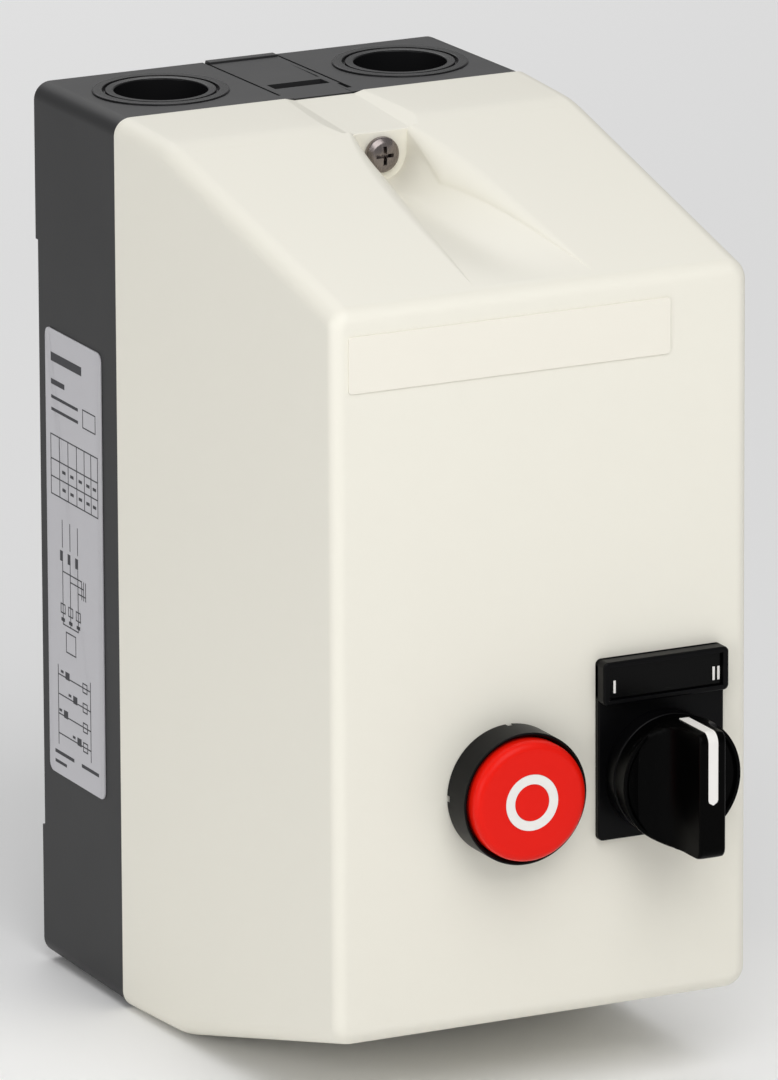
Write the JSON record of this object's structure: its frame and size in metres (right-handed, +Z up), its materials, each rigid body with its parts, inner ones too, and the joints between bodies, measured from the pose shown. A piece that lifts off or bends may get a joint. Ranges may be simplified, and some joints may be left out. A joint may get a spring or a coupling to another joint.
{
  "type": "magnetic motor starter",
  "caption": "Wall-mounted enclosed reversing motor starter: dark base, ivory cover with stop/reset button and two-way selector, contactors and overload relay inside.",
  "frame": {"origin": "centre of the back, on the wall plane", "axes": "+X to the right seen from the front, +Y into the wall, +Z up; the front cover faces -Y"},
  "size_m": [0.1008, 0.1714, 0.2],
  "materials": {
    "ivory_plastic": "fine satin moulding, ivory white",
    "charcoal_plastic": "fine matt texture, dark grey",
    "black_plastic": "satin black moulding",
    "red_plastic": "semi-gloss signal red",
    "white_plastic": "white, satin",
    "nameplate_film": "blank off-white adhesive film",
    "label_film": "grey polyester label, satin",
    "legend_film": "black engraved strip",
    "seal_rubber": "soft black seal",
    "plated_steel": "zinc-plated",
    "spring_steel": "bright drawn wire",
    "core_steel": "laminated, oiled",
    "brass": "turned brass",
    "copper_winding": "enamelled copper wire",
    "device_plastic": "dark grey moulding",
    "cream_plastic": "cream moulding"
  },
  "bodies": {
    "enclosure": {"base_housing": "charcoal_plastic", "rating_label": "label_film", "cover_screw_insert": "brass", "mounting_rail": "plated_steel", "rail_screw_left": "plated_steel", "rail_screw_right": "plated_steel", "forward_contactor_body": "device_plastic", "forward_magnet_core": "core_steel", "forward_magnet_coil": "copper_winding", "forward_return_spring": "spring_steel", "reverse_contactor_body": "device_plastic", "reverse_magnet_core": "core_steel", "reverse_magnet_coil": "copper_winding", "reverse_return_spring": "spring_steel", "mechanical_interlock": "cream_plastic", "line_link_strip": "device_plastic", "load_link_strip": "device_plastic", "overload_relay_body": "device_plastic", "earth_terminal": "brass", "earth_terminal_screw": "plated_steel"},
    "forward_contacts": {"forward_armature": "core_steel", "forward_contact_carrier": "cream_plastic"},
    "reverse_contacts": {"reverse_armature": "core_steel", "reverse_contact_carrier": "cream_plastic"},
    "relay_reset": {"relay_reset_button": "red_plastic"},
    "relay_dial": {"relay_setting_dial": "cream_plastic"},
    "cover": {"front_cover": "ivory_plastic", "cover_seal": "seal_rubber", "front_nameplate": "nameplate_film", "stop_bezel": "black_plastic", "stop_panel_seal": "seal_rubber", "stop_panel_nut": "black_plastic", "stop_return_spring": "spring_steel", "selector_legend_holder": "black_plastic", "selector_legend_strip": "legend_film", "selector_panel_seal": "seal_rubber", "selector_collar": "black_plastic", "selector_panel_nut": "black_plastic", "selector_yoke": "black_plastic", "contact_block_left": "device_plastic", "contact_block_right": "device_plastic"},
    "cover_screw": {"cover_screw": "plated_steel"},
    "stop_button": {"stop_button_cap": "red_plastic", "stop_button_ring": "white_plastic", "stop_push_rod": "black_plastic"},
    "selector": {"selector_handle": "black_plastic", "selector_marker": "white_plastic"},
    "contact_plunger_left": {"contact_plunger_left": "cream_plastic"},
    "contact_plunger_right": {"contact_plunger_right": "cream_plastic"}
  },
  "joints": [
    {"name": "cover_pull_off", "type": "slide", "parent": "enclosure", "child": "cover", "axis": [0, -1, 0], "range_m": [0, 0.12]},
    {"name": "cover_screw_turn", "type": "hinge", "parent": "cover", "child": "cover_screw", "pos_m": [0, -0.07, 0.0925], "axis": [0, 1, 0], "continuous": true},
    {"name": "stop_button_press", "type": "slide", "parent": "cover", "child": "stop_button", "axis": [0, 1, 0], "range_m": [0, 0.004], "stiffness_N_per_m": 900, "springref_m": -0.004, "deforming": ["stop_return_spring"]},
    {"name": "relay_reset_press", "type": "slide", "parent": "enclosure", "child": "relay_reset", "axis": [0, 1, 0], "range_m": [0, 0.004]},
    {"name": "selector_turn", "type": "hinge", "parent": "cover", "child": "selector", "pos_m": [0.0274, -0.15, -0.0286], "axis": [0, -1, 0], "range_deg": [-45, 45], "stiffness_Nm_per_rad": 0.35},
    {"name": "contact_plunger_left_press", "type": "slide", "parent": "cover", "child": "contact_plunger_left", "axis": [0, 1, 0], "range_m": [0, 0.003], "stiffness_N_per_m": 500, "springref_m": -0.002},
    {"name": "contact_plunger_right_press", "type": "slide", "parent": "cover", "child": "contact_plunger_right", "axis": [0, 1, 0], "range_m": [0, 0.003], "stiffness_N_per_m": 500, "springref_m": -0.002},
    {"name": "forward_contacts_pull_in", "type": "slide", "parent": "enclosure", "child": "forward_contacts", "axis": [0, 1, 0], "range_m": [0, 0.003], "stiffness_N_per_m": 800, "springref_m": -0.003, "deforming": ["forward_return_spring"]},
    {"name": "reverse_contacts_pull_in", "type": "slide", "parent": "enclosure", "child": "reverse_contacts", "axis": [0, 1, 0], "range_m": [0, 0.003], "stiffness_N_per_m": 800, "springref_m": -0.003, "deforming": ["reverse_return_spring"]},
    {"name": "relay_dial_turn", "type": "hinge", "parent": "enclosure", "child": "relay_dial", "pos_m": [-0.0317, -0.084, -0.0266], "axis": [0, -1, 0], "range_deg": [-120, 120]}
  ],
  "couplings": [
    {"joint": "relay_reset_press", "follows": "stop_button_press", "ratio": 1}
  ]
}
